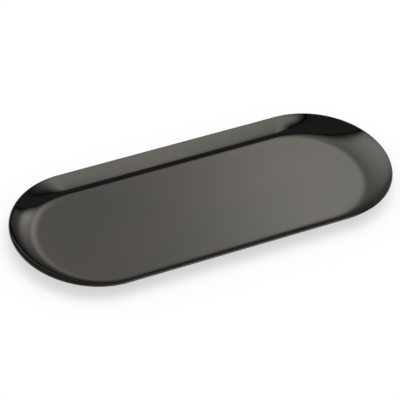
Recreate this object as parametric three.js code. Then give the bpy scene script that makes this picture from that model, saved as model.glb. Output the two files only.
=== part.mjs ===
// A long serving tray with round ends, pressed from one sheet of polished steel.
// Millimetres, +Z up. The origin is on the resting plane, under the middle of the floor.

import * as THREE from "three";

// Driving dimensions of the finished tray.
const overallLength = 305;
const overallWidth = 121;
const overallHeight = 11.5;
const sheetThickness = 0.8;

// The side wall's cut is three arcs: a long easing off the flat floor, a tighter fold, and the
// wall up to the rim. Each ends at the slope given here, in degrees.
const easingRadius = 62;
const easingSlope = 4;
const foldRadius = 12.5;
const foldSlope = 31.5;
const rimSlope = 60;

// At the tips of the round ends the same wall is drawn out to this width in plan.
const endWallRun = 30;

// How finely the round ends, the straight sides, the three arcs and the lip are divided.
const endSegments = 44;
const sideSegments = 7;
const easingSteps = 3;
const foldSteps = 6;
const wallSteps = 7;
const lipSteps = 6;

// The pressing is set out on the middle of the sheet, so both faces lie half a sheet from it.
const halfSheet = sheetThickness / 2;
const rise = overallHeight - sheetThickness;

// The wall's own arc is as large as it takes to reach the rim from the top of the fold.
const radians = THREE.MathUtils.degToRad;
const widthOf = (radius, from, to) => radius * (Math.sin(radians(to)) - Math.sin(radians(from)));
const heightOf = (radius, from, to) => radius * (Math.cos(radians(from)) - Math.cos(radians(to)));
const bendHeight = heightOf(easingRadius, 0, easingSlope) + heightOf(foldRadius, easingSlope, foldSlope);
const wallRadius = (rise - bendHeight) / heightOf(1, foldSlope, rimSlope);

const wallArcs = [
  { radius: easingRadius, from: 0, to: easingSlope, steps: easingSteps },
  { radius: foldRadius, from: easingSlope, to: foldSlope, steps: foldSteps },
  { radius: wallRadius, from: foldSlope, to: rimSlope, steps: wallSteps },
];
const sideWallRun = wallArcs.reduce((sum, arc) => sum + widthOf(arc.radius, arc.from, arc.to), 0);

// Plan outline of the rim and of the floor edge: two half circles and the straights between them.
// The floor's half circles sit closer together than the rim's, which makes the end walls wider.
const rimRadius = overallWidth / 2 - halfSheet;
const rimCentre = overallLength / 2 - halfSheet - rimRadius;
const floorRadius = rimRadius - sideWallRun;
const floorCentre = rimRadius + rimCentre - endWallRun - floorRadius;
const centreDrift = (rimCentre - floorCentre) / sideWallRun;

// Stations round the plan outline, anticlockwise: "along" places the centre between the two ends,
// and "angle" is the direction straight out from it.
function planStations() {
  const stations = [];
  for (const end of [1, -1]) {
    for (let k = 0; k <= endSegments; k += 1) {
      stations.push({ along: end, angle: Math.PI * (k / endSegments - end / 2) });
    }
    for (let k = 1; k < sideSegments; k += 1) {
      stations.push({ along: end * (1 - (2 * k) / sideSegments), angle: (end * Math.PI) / 2 });
    }
  }
  return stations;
}

// Stations up the side wall: how far out from the floor edge, how high above the floor, how steep.
function wallStations() {
  const stations = [{ out: 0, up: 0, slope: 0 }];
  for (const arc of wallArcs) {
    const start = stations[stations.length - 1];
    for (let k = 1; k <= arc.steps; k += 1) {
      const slope = THREE.MathUtils.lerp(arc.from, arc.to, k / arc.steps);
      stations.push({
        out: start.out + widthOf(arc.radius, arc.from, slope),
        up: start.up + heightOf(arc.radius, arc.from, slope),
        slope,
      });
    }
  }
  return stations;
}

// The cut through the sheet: up the inner face, round the lip and down the outer face. "turn" swings
// the skin from the inner side of the sheet, at 0, over to the outer side, at half a turn.
function sheetStations() {
  const wall = wallStations();
  const rim = wall[wall.length - 1];
  const inner = wall.map((station) => ({ ...station, turn: 0 }));
  const outer = wall.map((station) => ({ ...station, turn: Math.PI })).reverse();
  const lip = [];
  for (let k = 1; k < lipSteps; k += 1) {
    lip.push({ ...rim, turn: (Math.PI * k) / lipSteps });
  }
  return [...inner, ...lip, ...outer];
}

// One point of the sheet's skin. The middle of the sheet is lofted from the floor outline to the
// rim outline, and the point stands off it square to the sheet, so the gauge is even all over.
function skinPoint({ along, angle }, { out, up, slope, turn }) {
  const radial = new THREE.Vector3(Math.cos(angle), Math.sin(angle), 0);
  const around = new THREE.Vector3(-radial.y, radial.x, 0);
  const middle = radial.clone().multiplyScalar(floorRadius + out);
  middle.x += along * (floorCentre + centreDrift * out);
  middle.z = halfSheet + up;

  const uphill = radial.clone();
  uphill.x += along * centreDrift;
  uphill.z = Math.tan(radians(slope));
  const normal = new THREE.Vector3().crossVectors(uphill, around).normalize();
  const lipwards = new THREE.Vector3().crossVectors(around, normal);
  return middle
    .addScaledVector(normal, halfSheet * Math.cos(turn))
    .addScaledVector(lipwards, halfSheet * Math.sin(turn));
}

// A closed skin from rings of points, with its two flat floors filled by strips from side to side.
function pressedSheet() {
  const plan = planStations();
  const section = sheetStations();
  const count = plan.length;
  const points = section.flatMap((level) => plan.map((place) => skinPoint(place, level)));
  const at = (ring, place) => ring * count + ((place + count) % count);

  const faces = [];
  const triangle = (a, b, c) => {
    if (a !== b && b !== c && c !== a) {
      faces.push(a, b, c);
    }
  };
  const quad = (a, b, c, d) => {
    triangle(a, b, c);
    triangle(a, c, d);
  };

  for (let ring = 0; ring + 1 < section.length; ring += 1) {
    for (let place = 0; place < count; place += 1) {
      quad(at(ring, place), at(ring + 1, place), at(ring + 1, place + 1), at(ring, place + 1));
    }
  }

  // The strips start at the tip of one end and finish at the tip of the other, where they close.
  const tip = endSegments / 2;
  const innerFloor = 0;
  const outerFloor = section.length - 1;
  for (let k = 0; k < count / 2; k += 1) {
    const [near, far, nextFar, nextNear] = [tip - k, tip + k, tip + k + 1, tip - k - 1];
    quad(at(innerFloor, near), at(innerFloor, far), at(innerFloor, nextFar), at(innerFloor, nextNear));
    quad(at(outerFloor, near), at(outerFloor, nextNear), at(outerFloor, nextFar), at(outerFloor, far));
  }

  const geometry = new THREE.BufferGeometry().setFromPoints(points);
  geometry.setIndex(faces);
  geometry.computeVertexNormals();
  return geometry;
}

// Mirror-polished steel with a dark gunmetal coat.
const gunmetal = new THREE.MeshStandardMaterial({ color: 0x74706b, metalness: 1, roughness: 0.1 });

const tray = new THREE.Group();
const pressedTray = new THREE.Mesh(pressedSheet(), gunmetal);
pressedTray.name = "pressed_tray";
tray.add(pressedTray);

export default tray;
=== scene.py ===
# A long serving tray with round ends, pressed from one sheet of polished gunmetal steel.
# Metres, +Z up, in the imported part's own frame.

from math import cos, hypot, pi, radians, sin

import bmesh
import bpy
from mathutils import Matrix, Vector


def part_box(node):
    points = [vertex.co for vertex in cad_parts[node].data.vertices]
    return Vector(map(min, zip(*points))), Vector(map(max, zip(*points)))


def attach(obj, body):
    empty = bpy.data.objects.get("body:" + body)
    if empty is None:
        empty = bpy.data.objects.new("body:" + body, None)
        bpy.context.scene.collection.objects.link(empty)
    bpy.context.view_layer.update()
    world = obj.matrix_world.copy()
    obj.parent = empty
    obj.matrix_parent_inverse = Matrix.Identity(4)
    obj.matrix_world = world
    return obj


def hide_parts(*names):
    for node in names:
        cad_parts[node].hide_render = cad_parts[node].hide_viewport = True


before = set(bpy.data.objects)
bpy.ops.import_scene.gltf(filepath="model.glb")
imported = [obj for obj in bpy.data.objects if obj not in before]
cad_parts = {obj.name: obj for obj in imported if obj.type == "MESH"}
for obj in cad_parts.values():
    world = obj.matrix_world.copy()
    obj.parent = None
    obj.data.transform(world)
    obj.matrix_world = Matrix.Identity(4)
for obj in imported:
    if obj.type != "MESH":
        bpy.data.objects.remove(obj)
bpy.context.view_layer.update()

NODE = "pressed_tray"
node_low, node_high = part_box(NODE)
LENGTH = node_high.x - node_low.x
WIDTH = node_high.y - node_low.y
HEIGHT = node_high.z - node_low.z

# The sheet, and the cut through its side wall: a long easing off the flat floor, a tighter fold,
# and the wall up to the rim. Each arc ends at its slope.
SHEET = 0.0008
EASING_RADIUS = 0.062
EASING_SLOPE = radians(4)
FOLD_RADIUS = 0.0125
FOLD_SLOPE = radians(31.5)
RIM_SLOPE = radians(60)

# At the tips of the round ends the same wall is drawn out to this width in plan.
END_WALL_RUN = 0.030

# The cut edge of the sheet is deburred to this radius, and stands this far past the rim's line.
# Corners that turn more than this are cut edges.
LIP_ROUNDING = 0.0003
LIP_REACH = 0.00029
LIP_CORNER = radians(40)

# How finely a round end, the three arcs and the lip are divided, and where rings lie on the flat
# floor, as shares of its radius.
END_STEPS = 128
EASING_STEPS = 10
FOLD_STEPS = 22
WALL_STEPS = 28
LIP_STEPS = 3
FLOOR_RINGS = (0.0, 0.5, 0.8, 0.94, 0.985, 1.0)

# Points closer than this are one point.
SAME_POINT = 1e-6


def arc_width(radius, start, end):
    """How far out an arc runs between two slopes."""
    return radius * (sin(end) - sin(start))


def arc_height(radius, start, end):
    """How far up an arc climbs between two slopes."""
    return radius * (cos(start) - cos(end))


# The wall's own arc is as large as it takes to reach the rim from the top of the fold.
RISE = HEIGHT - SHEET
EASING_HEIGHT = arc_height(EASING_RADIUS, 0, EASING_SLOPE)
FOLD_HEIGHT = arc_height(FOLD_RADIUS, EASING_SLOPE, FOLD_SLOPE)
WALL_HEIGHT = RISE - (EASING_HEIGHT + FOLD_HEIGHT)
WALL_RADIUS = WALL_HEIGHT / arc_height(1, FOLD_SLOPE, RIM_SLOPE)
WALL_ARCS = (
    (EASING_RADIUS, 0, EASING_SLOPE, EASING_STEPS),
    (FOLD_RADIUS, EASING_SLOPE, FOLD_SLOPE, FOLD_STEPS),
    (WALL_RADIUS, FOLD_SLOPE, RIM_SLOPE, WALL_STEPS),
)
SIDE_WALL_RUN = sum(arc_width(radius, start, end) for radius, start, end, steps in WALL_ARCS)

# Plan of the middle of the sheet. The floor's half circles have their centres closer together
# than the rim's, and the centre drifts outwards as the wall climbs.
RIM_RADIUS = WIDTH / 2 - SHEET / 2
RIM_CENTRE = LENGTH / 2 - SHEET / 2 - RIM_RADIUS
FLOOR_RADIUS = RIM_RADIUS - SIDE_WALL_RUN
FLOOR_CENTRE = RIM_RADIUS + RIM_CENTRE - END_WALL_RUN - FLOOR_RADIUS
CENTRE_DRIFT = (RIM_CENTRE - FLOOR_CENTRE) / SIDE_WALL_RUN


def wall_section():
    """Distance from the end's centre and height, from the middle of the floor out to the rim."""
    levels = [(share * FLOOR_RADIUS, 0.0) for share in FLOOR_RINGS]
    for radius, start, end, steps in WALL_ARCS:
        foot_out, foot_up = levels[-1]
        for step in range(1, steps + 1):
            slope = start + (end - start) * step / steps
            out = foot_out + arc_width(radius, start, slope)
            up = foot_up + arc_height(radius, start, slope)
            levels.append((out, up))
    rim_out, rim_up = levels[-1]
    levels.append((rim_out + LIP_REACH * cos(RIM_SLOPE), rim_up + LIP_REACH * sin(RIM_SLOPE)))
    return [(out, up + SHEET / 2) for out, up in levels]


def pressed_sheet():
    """The middle of the sheet: one round end is spun, drawn out, carried on and mirrored."""
    sheet = bmesh.new()
    chain = [sheet.verts.new((0, -out, up)) for out, up in wall_section()]
    line = [sheet.edges.new(pair) for pair in zip(chain, chain[1:])]
    bmesh.ops.spin(
        sheet, geom=chain + line, cent=(0, 0, 0), axis=(0, 0, 1), angle=pi, steps=END_STEPS,
        use_merge=False, use_duplicate=False,
    )
    bmesh.ops.remove_doubles(sheet, verts=sheet.verts, dist=SAME_POINT)

    inward = [
        edge for edge in sheet.edges
        if edge.is_boundary and all(abs(vert.co.x) < SAME_POINT for vert in edge.verts)
    ]
    for vert in sheet.verts:
        climbed = max(0.0, hypot(vert.co.x, vert.co.y) - FLOOR_RADIUS)
        vert.co.x += FLOOR_CENTRE + CENTRE_DRIFT * climbed
    carried = bmesh.ops.extrude_edge_only(sheet, edges=inward)["geom"]
    for vert in carried:
        if isinstance(vert, bmesh.types.BMVert):
            vert.co.x = 0

    half = sheet.verts[:] + sheet.edges[:] + sheet.faces[:]
    bmesh.ops.mirror(sheet, geom=half, axis="X", merge_dist=SAME_POINT)
    bmesh.ops.recalc_face_normals(sheet, faces=sheet.faces)
    return sheet


def node(tree, kind, inputs=None, **settings):
    """A shader node. An input is a plain value, or the output socket that feeds it."""
    made = tree.nodes.new(kind)
    for name, value in settings.items():
        setattr(made, name, value)
    for name, value in (inputs or {}).items():
        if isinstance(value, bpy.types.NodeSocket):
            tree.links.new(value, made.inputs[name])
        else:
            made.inputs[name].default_value = value
    return made


def maths(tree, operation, *values):
    """One step of arithmetic on plain values and sockets, as an output socket."""
    made = tree.nodes.new("ShaderNodeMath")
    made.operation = operation
    for socket, value in zip(made.inputs, values):
        if isinstance(value, bpy.types.NodeSocket):
            tree.links.new(value, socket)
        else:
            socket.default_value = value
    return made.outputs[0]


def sum_of_squares(tree, first, second):
    return maths(tree, "MULTIPLY_ADD", first, first, maths(tree, "MULTIPLY", second, second))


def ramp(tree, value, low, high, at_low=0.0, at_high=1.0):
    """A smooth change from one level to another, as the value goes from low to high."""
    made = node(
        tree, "ShaderNodeMapRange",
        {"Value": value, "From Min": low, "From Max": high, "To Min": at_low, "To Max": at_high},
        interpolation_type="SMOOTHSTEP",
    )
    return made.outputs["Result"]


def own_place(tree):
    """A point's place in its own object's space."""
    return node(tree, "ShaderNodeTexCoord").outputs["Object"]


def coordinates(tree, place):
    return node(tree, "ShaderNodeSeparateXYZ", {"Vector": place}).outputs


def grain(tree, place, per_metre, detail, turn=0.0):
    """Soft noise between 0 and 1, with this many waves to the metre along each axis."""
    laid = node(
        tree, "ShaderNodeMapping",
        {"Vector": place, "Scale": per_metre, "Rotation": (0, 0, turn)},
    )
    made = node(
        tree, "ShaderNodeTexNoise", {"Vector": laid.outputs[0], "Scale": 1.0, "Detail": detail},
    )
    return made.outputs["Fac"]


def joined(tree, kind, first, second, inputs=None):
    """Two shaders, added or mixed by a node whose last two inputs take them."""
    both = node(tree, kind, inputs)
    for shader, socket in zip((first, second), list(both.inputs)[-2:]):
        tree.links.new(shader.outputs[0], socket)
    return both.outputs[0]


def new_material(name):
    """A material with nothing in it yet, and its node tree."""
    material = bpy.data.materials.new(name)
    material.use_nodes = True
    material.node_tree.nodes.clear()
    return material, material.node_tree


# The dark coat in its warmer and its cooler tone, and where the deburred edge has worn paler.
COAT_WARM = (0.173, 0.160, 0.143, 1)
COAT_COOL = (0.159, 0.154, 0.139, 1)
EDGE_TONE = (0.180, 0.171, 0.157, 1)

# The lip is as deep as this below the rim, and scuffs reach no higher than this off the table.
LIP_ZONE = 0.0006
SCUFF_ZONE = 0.00005

# The grains of the finish: waves to the metre along each axis, and how finely they are broken up.
# The polishing lines run along the tray, and a second set crosses them at a slight turn.
CLOUDS = {"per_metre": (11, 16, 16), "detail": 3.0}
HAZE = {"per_metre": (28, 28, 28), "detail": 4.0}
RIPPLES = {"per_metre": (22, 26, 26), "detail": 1.0}
POLISHING = {"per_metre": (35, 2400, 2400), "detail": 4.0}
CROSS_POLISHING = {"per_metre": (45, 1900, 1900), "detail": 4.0, "turn": radians(17)}

# Between which two values a grain passes from none to all of its effect.
CLOUD_RANGE = (0.35, 0.65)
HAZE_RANGE = (0.3, 0.75)
HAIRLINE_RANGE = (0.42, 0.62)

# Scuffs cross the resting face. A scuff's half width is a share of the space between scuffs.
SCUFFS_PER_METRE = 120.0
SCUFF_HALF_WIDTH = 0.035

# Roughness of the polish where the haze is thinnest and thickest, and what the marks add to it.
CLEAR_POLISH = 0.028
HAZY_POLISH = 0.044
HAIRLINE_ROUGHNESS = 0.016
SCUFF_ROUGHNESS = 0.22
LIP_ROUGHNESS = 0.16

# How far the ripples left by pressing and the polishing lines stand up.
RIPPLE_HEIGHT = 12e-6
LINE_HEIGHT = 0.4e-6


def gunmetal_finish():
    """Mirror-polished steel under a thin dark coat, with traces of polishing, pressing and use."""
    material, tree = new_material("gunmetal_mirror_polish")
    place = own_place(tree)
    height = coordinates(tree, place)["Z"]
    lip = ramp(tree, height, HEIGHT - LIP_ZONE, HEIGHT - LIP_ZONE / 2)

    clouds = ramp(tree, grain(tree, place, **CLOUDS), *CLOUD_RANGE)
    coat = node(
        tree, "ShaderNodeMixRGB", {"Fac": clouds, "Color1": COAT_WARM, "Color2": COAT_COOL},
    )
    tone = node(
        tree, "ShaderNodeMixRGB", {"Fac": lip, "Color1": coat.outputs[0], "Color2": EDGE_TONE},
    )

    polishing = grain(tree, place, **POLISHING)
    cross_polishing = grain(tree, place, **CROSS_POLISHING)
    lines = maths(tree, "MULTIPLY", maths(tree, "ADD", polishing, cross_polishing), 0.5)
    haze = ramp(tree, grain(tree, place, **HAZE), *HAZE_RANGE, CLEAR_POLISH, HAZY_POLISH)
    hairlines = ramp(tree, lines, *HAIRLINE_RANGE, 0.0, HAIRLINE_ROUGHNESS)
    cells = node(
        tree, "ShaderNodeTexVoronoi", {"Vector": place, "Scale": SCUFFS_PER_METRE},
        feature="DISTANCE_TO_EDGE",
    ).outputs["Distance"]
    scuffs = ramp(tree, cells, 0.0, SCUFF_HALF_WIDTH, SCUFF_ROUGHNESS, 0.0)
    resting = ramp(tree, height, SCUFF_ZONE, SCUFF_ZONE * 2, 1.0, 0.0)
    scuffs = maths(tree, "MULTIPLY", scuffs, resting)
    roughness = maths(tree, "ADD", maths(tree, "ADD", haze, hairlines), scuffs)
    roughness = maths(tree, "ADD", roughness, maths(tree, "MULTIPLY", lip, LIP_ROUGHNESS))

    ripples = grain(tree, place, **RIPPLES)
    pressing = node(tree, "ShaderNodeBump", {"Height": ripples, "Distance": RIPPLE_HEIGHT})
    brushed = node(
        tree, "ShaderNodeBump",
        {"Height": lines, "Distance": LINE_HEIGHT, "Normal": pressing.outputs[0]},
    )
    steel = node(
        tree, "ShaderNodeBsdfPrincipled",
        {
            "Base Color": tone.outputs[0], "Metallic": 1.0, "Roughness": roughness,
            "Normal": brushed.outputs[0],
        },
    )
    node(tree, "ShaderNodeOutputMaterial", {"Surface": steel.outputs["BSDF"]})
    return material


def new_object(name, data):
    """An object in the scene, at the origin."""
    made = bpy.data.objects.new(name, data)
    bpy.context.scene.collection.objects.link(made)
    return made


def make_tray():
    """The one sheet, given its gauge and its deburred lip."""
    mesh = bpy.data.meshes.new(NODE)
    sheet = pressed_sheet()
    sheet.to_mesh(mesh)
    sheet.free()
    mesh.shade_smooth()
    mesh.materials.append(gunmetal_finish())
    tray = new_object("tray_sheet", mesh)

    gauge = tray.modifiers.new("gauge", "SOLIDIFY")
    gauge.thickness = SHEET
    gauge.offset = 0
    gauge.use_even_offset = True
    lip = tray.modifiers.new("deburred_lip", "BEVEL")
    lip.width = LIP_ROUNDING
    lip.segments = LIP_STEPS
    lip.limit_method = "ANGLE"
    lip.angle_limit = LIP_CORNER
    lip.harden_normals = True
    return tray


tray = make_tray()
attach(tray, "root")
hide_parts(NODE)

# The photograph's view: the camera stands off the point that it looks at, with a long lens. The
# lens and the sensor are in millimetres.
CAMERA_AZIMUTH = radians(-31.72)
CAMERA_ELEVATION = radians(42.20)
CAMERA_ROLL = radians(6.89)
CAMERA_DISTANCE = 1.8248
CAMERA_TARGET = (0.0003, 0.00638, 0.0015)
CAMERA_LENS = 221.0
CAMERA_SENSOR = 36.0


def make_camera():
    tilt = Matrix.Rotation(pi / 2 - CAMERA_ELEVATION, 4, "X")
    turn = Matrix.Rotation(CAMERA_AZIMUTH, 4, "Z") @ tilt @ Matrix.Rotation(CAMERA_ROLL, 4, "Z")
    back = Matrix.Translation((0, 0, CAMERA_DISTANCE))
    camera = new_object("camera", bpy.data.cameras.new("camera"))
    camera.matrix_world = Matrix.Translation(CAMERA_TARGET) @ turn @ back
    camera.data.sensor_width = CAMERA_SENSOR
    camera.data.lens = CAMERA_LENS
    bpy.context.scene.camera = camera


make_camera()


def stage_piece(name, mesh, material):
    """Something of the studio, which isn't part of the tray."""
    mesh.materials.append(material)
    piece = new_object(name, mesh)
    return piece


def seen_in_the_metal_only(piece):
    piece.visible_camera = False
    piece.visible_diffuse = False
    piece.visible_transmission = False
    piece.visible_shadow = False


def flat_mesh(name, half_length, half_depth, height=0.0):
    """A flat rectangle about the origin, at this height."""
    mesh = bpy.data.meshes.new(name)
    sheet = bmesh.new()
    bmesh.ops.create_grid(sheet, x_segments=1, y_segments=1, size=1)
    bmesh.ops.scale(sheet, verts=sheet.verts, vec=(half_length, half_depth, 1))
    bmesh.ops.translate(sheet, verts=sheet.verts, vec=(0, 0, height))
    sheet.to_mesh(mesh)
    sheet.free()
    return mesh


# The tray mirrors two large soft lights. Each has a window, lit unevenly, that fades to a share of
# its glow at its edge, and a thin dark frame. Places and sizes are in metres, turns in degrees. The
# window's level slopes along it and across it. A hot spot is its strength, its place from the
# window's middle and its two widths. A negative strength makes it dim.
BACK_LIGHT = {
    "place": (0.324, 1.324, 0.540), "turn": (3.9, -36.1, 9.3),
    "half_length": 3.46, "half_depth": 1.39, "corner": 0.10, "fade": 0.44,
    "edge": 0.039, "frame": 0.016,
    "level": 0.082, "along": 0.005, "across": -0.132,
    "hot_spots": (
        (0.78, -1.13, -0.29, 1.11, 1.48),
        (0.62, 0.32, -0.72, 0.20, 0.43),
        (1.22, 0.95, -1.49, 0.47, 0.89),
        (-0.05, 0.24, 0.03, 0.55, 0.54),
    ),
}
FRONT_LIGHT = {
    "place": (0.760, -1.304, 1.358), "turn": (158.6, -64.3, 131.5),
    "half_length": 1.35, "half_depth": 1.34, "corner": 1.34, "fade": 0.33,
    "edge": 0.563, "frame": 0.021,
    "level": 0.007, "along": 0.006, "across": 0.005,
    "hot_spots": (
        (0.79, 0.16, 0.83, 0.54, 1.12),
        (0.63, 0.05, -0.77, 0.28, 0.86),
        (0.59, -0.53, 0.16, 0.40, 0.69),
        (0.06, 1.17, 0.22, 0.40, 0.84),
    ),
}

# The glow of the frames, and the most that a window gives.
FRAME_GLOW = 0.003
BRIGHTEST = 1.5


def past_window_edge(tree, x, y, light):
    """Distance out past the window's round-cornered edge, negative inside."""
    corner = light["corner"]
    past_x = maths(tree, "SUBTRACT", maths(tree, "ABSOLUTE", x), light["half_length"] - corner)
    past_y = maths(tree, "SUBTRACT", maths(tree, "ABSOLUTE", y), light["half_depth"] - corner)
    outside_x = maths(tree, "MAXIMUM", past_x, 0.0)
    outside_y = maths(tree, "MAXIMUM", past_y, 0.0)
    outside = maths(tree, "SQRT", sum_of_squares(tree, outside_x, outside_y))
    inside = maths(tree, "MINIMUM", maths(tree, "MAXIMUM", past_x, past_y), 0.0)
    return maths(tree, "SUBTRACT", maths(tree, "ADD", outside, inside), corner)


def window_glow(tree, x, y, light):
    """A level that slopes both ways, and the hot spots on it."""
    glow = maths(tree, "MULTIPLY_ADD", x, light["along"], light["level"])
    glow = maths(tree, "MULTIPLY_ADD", y, light["across"], glow)
    for strength, spot_x, spot_y, width_x, width_y in light["hot_spots"]:
        far_x = maths(tree, "DIVIDE", maths(tree, "SUBTRACT", x, spot_x), width_x)
        far_y = maths(tree, "DIVIDE", maths(tree, "SUBTRACT", y, spot_y), width_y)
        far = sum_of_squares(tree, far_x, far_y)
        spot = maths(tree, "EXPONENT", maths(tree, "MULTIPLY", far, -1.0))
        glow = maths(tree, "MULTIPLY_ADD", spot, strength, glow)
    return maths(tree, "MINIMUM", maths(tree, "MAXIMUM", glow, FRAME_GLOW), BRIGHTEST)


def soft_light(name, light):
    """A glowing window in its dark frame, and nothing past the frame."""
    material, tree = new_material(name + "_glow")
    where = coordinates(tree, own_place(tree))
    x, y = where["X"], where["Y"]
    past = past_window_edge(tree, x, y, light)
    lit = ramp(tree, past, -light["fade"], 0.0, 1.0, light["edge"])
    lit = maths(tree, "MULTIPLY", lit, maths(tree, "LESS_THAN", past, 0.0))
    glow = maths(tree, "SUBTRACT", window_glow(tree, x, y, light), FRAME_GLOW)
    glow = maths(tree, "MULTIPLY_ADD", glow, lit, FRAME_GLOW)
    cloth = node(tree, "ShaderNodeEmission", {"Strength": glow})
    nothing = node(tree, "ShaderNodeBsdfTransparent")
    beyond = maths(tree, "GREATER_THAN", past, light["frame"])
    both = joined(tree, "ShaderNodeMixShader", cloth, nothing, {"Fac": beyond})
    node(tree, "ShaderNodeOutputMaterial", {"Surface": both})

    half_length = light["half_length"] + light["frame"]
    half_depth = light["half_depth"] + light["frame"]
    piece = stage_piece(name, flat_mesh(name, half_length, half_depth), material)
    yaw, pitch, roll = (radians(angle) for angle in light["turn"])
    aim = Matrix.Rotation(yaw, 4, "Z") @ Matrix.Rotation(pitch, 4, "X")
    turn = aim @ Matrix.Rotation(roll, 4, "Y")
    piece.matrix_world = Matrix.Translation(light["place"]) @ turn
    seen_in_the_metal_only(piece)


soft_light("back_light", BACK_LIGHT)
soft_light("front_light", FRONT_LIGHT)

# Round the lights is a dim, cool room, a little paler behind the tray. Low on its far left hangs a
# wide soft light that the tray mirrors only when it is seen from the right and from behind.
ROOM_RADIUS = 9.0
ROOM_SEGMENTS = 48
ROOM_GLOW = 0.066
ROOM_SLANT = 0.016
ROOM_TINT = (0.96, 1.0, 1.08, 1)
SIDE_GLOW = 0.65
SIDE_AZIMUTH = radians(-112)
SIDE_HALF_WIDTH = radians(53)
SIDE_ELEVATION = radians(17.5)
SIDE_HALF_HEIGHT = radians(14.5)
SIDE_FADE = radians(6)


def near_middle(tree, angle, middle, half):
    """1 within half an opening of its middle, fading to 0 at its edge."""
    off = maths(tree, "ABSOLUTE", maths(tree, "SUBTRACT", angle, middle))
    return ramp(tree, off, half - SIDE_FADE, half, 1.0, 0.0)


def dim_room():
    material, tree = new_material("dim_room")
    where = coordinates(tree, own_place(tree))
    x, y, z = (maths(tree, "DIVIDE", where[axis], ROOM_RADIUS) for axis in "XYZ")
    across = near_middle(tree, maths(tree, "ARCTAN2", x, y), SIDE_AZIMUTH, SIDE_HALF_WIDTH)
    upright = near_middle(tree, maths(tree, "ARCSINE", z), SIDE_ELEVATION, SIDE_HALF_HEIGHT)
    dim = maths(tree, "MULTIPLY_ADD", y, ROOM_SLANT, ROOM_GLOW)
    bright = maths(tree, "MULTIPLY", maths(tree, "MULTIPLY", across, upright), SIDE_GLOW)
    wall = node(tree, "ShaderNodeEmission", {"Color": ROOM_TINT, "Strength": dim})
    side_light = node(tree, "ShaderNodeEmission", {"Strength": bright})
    both = joined(tree, "ShaderNodeAddShader", wall, side_light)
    node(tree, "ShaderNodeOutputMaterial", {"Surface": both})

    mesh = bpy.data.meshes.new("dim_room")
    room = bmesh.new()
    bmesh.ops.create_uvsphere(
        room, u_segments=ROOM_SEGMENTS, v_segments=ROOM_SEGMENTS // 2, radius=ROOM_RADIUS,
    )
    room.to_mesh(mesh)
    room.free()
    seen_in_the_metal_only(stage_piece("dim_room", mesh, material))


dim_room()

# The light on the scene adds up to a plain level, at which a colour looks as it is written. The
# table has a light grey paint and a glow that only the eye and the metal see, which makes it white.
TABLE_COLOUR = (0.43, 0.43, 0.43, 1)
TABLE_GLOW = 0.58
TABLE_HALF = 4.0
TABLE_DROP = 0.0002
WORLD_LIGHT = 0.6
SUN_LIGHT = 1.25
SUN_SPREAD = radians(60)
SUN_FROM = Vector((0.3, 0.4, 2.0))

# How near the tray the table's glow, where the metal mirrors it, is darkened by painted shade, and
# how steeply the painted shade deepens.
CONTACT_REACH = 0.03
CONTACT_STEEPNESS = 3.0
CONTACT_SAMPLES = 16


def make_table():
    """A white table. Where the metal mirrors it, its glow carries painted shade that goes dark
    close under the tray.
    """
    material, tree = new_material("pale_table")
    paint = node(tree, "ShaderNodeBsdfDiffuse", {"Color": TABLE_COLOUR})
    rays = node(tree, "ShaderNodeLightPath").outputs
    openness = node(
        tree, "ShaderNodeAmbientOcclusion", {"Distance": CONTACT_REACH}, samples=CONTACT_SAMPLES,
    ).outputs["AO"]
    # Painted shade: ambient occlusion darkens the glow that the metal mirrors close under the tray.
    painted_shade_factor = maths(tree, "POWER", openness, CONTACT_STEEPNESS)
    mirrored = maths(tree, "MULTIPLY", rays["Is Glossy Ray"], painted_shade_factor)
    seen = maths(tree, "MAXIMUM", rays["Is Camera Ray"], rays["Is Transmission Ray"])
    lit = maths(tree, "MULTIPLY", maths(tree, "ADD", seen, mirrored), TABLE_GLOW)
    glow = node(tree, "ShaderNodeEmission", {"Strength": lit})
    both = joined(tree, "ShaderNodeAddShader", paint, glow)
    node(tree, "ShaderNodeOutputMaterial", {"Surface": both})
    stage_piece("table", flat_mesh("table", TABLE_HALF, TABLE_HALF, -TABLE_DROP), material)


make_table()


def soft_sun():
    """Soft light from above and a little behind, on everything but the mirror."""
    lamp = bpy.data.lights.new("soft_sun", "SUN")
    lamp.angle = SUN_SPREAD
    lamp.energy = SUN_LIGHT
    sun = new_object("soft_sun", lamp)
    sun.rotation_mode = "QUATERNION"
    sun.rotation_quaternion = SUN_FROM.to_track_quat("Z", "Y")
    sun.visible_glossy = False


soft_sun()


def make_world():
    """Even, plain light from all round, which the camera sees as white."""
    world = bpy.data.worlds.new("studio")
    bpy.context.scene.world = world
    world.use_nodes = True
    tree = world.node_tree
    tree.nodes.clear()
    rays = node(tree, "ShaderNodeLightPath").outputs
    seen = maths(tree, "MAXIMUM", rays["Is Camera Ray"], rays["Is Glossy Ray"])
    seen = maths(tree, "MAXIMUM", seen, rays["Is Transmission Ray"])
    strength = maths(tree, "MULTIPLY_ADD", seen, 1.0 - WORLD_LIGHT, WORLD_LIGHT)
    sky = node(tree, "ShaderNodeBackground", {"Color": (1, 1, 1, 1), "Strength": strength})
    node(tree, "ShaderNodeOutputWorld", {"Surface": sky.outputs[0]})


make_world()

bpy.context.scene.view_settings.view_transform = "Standard"
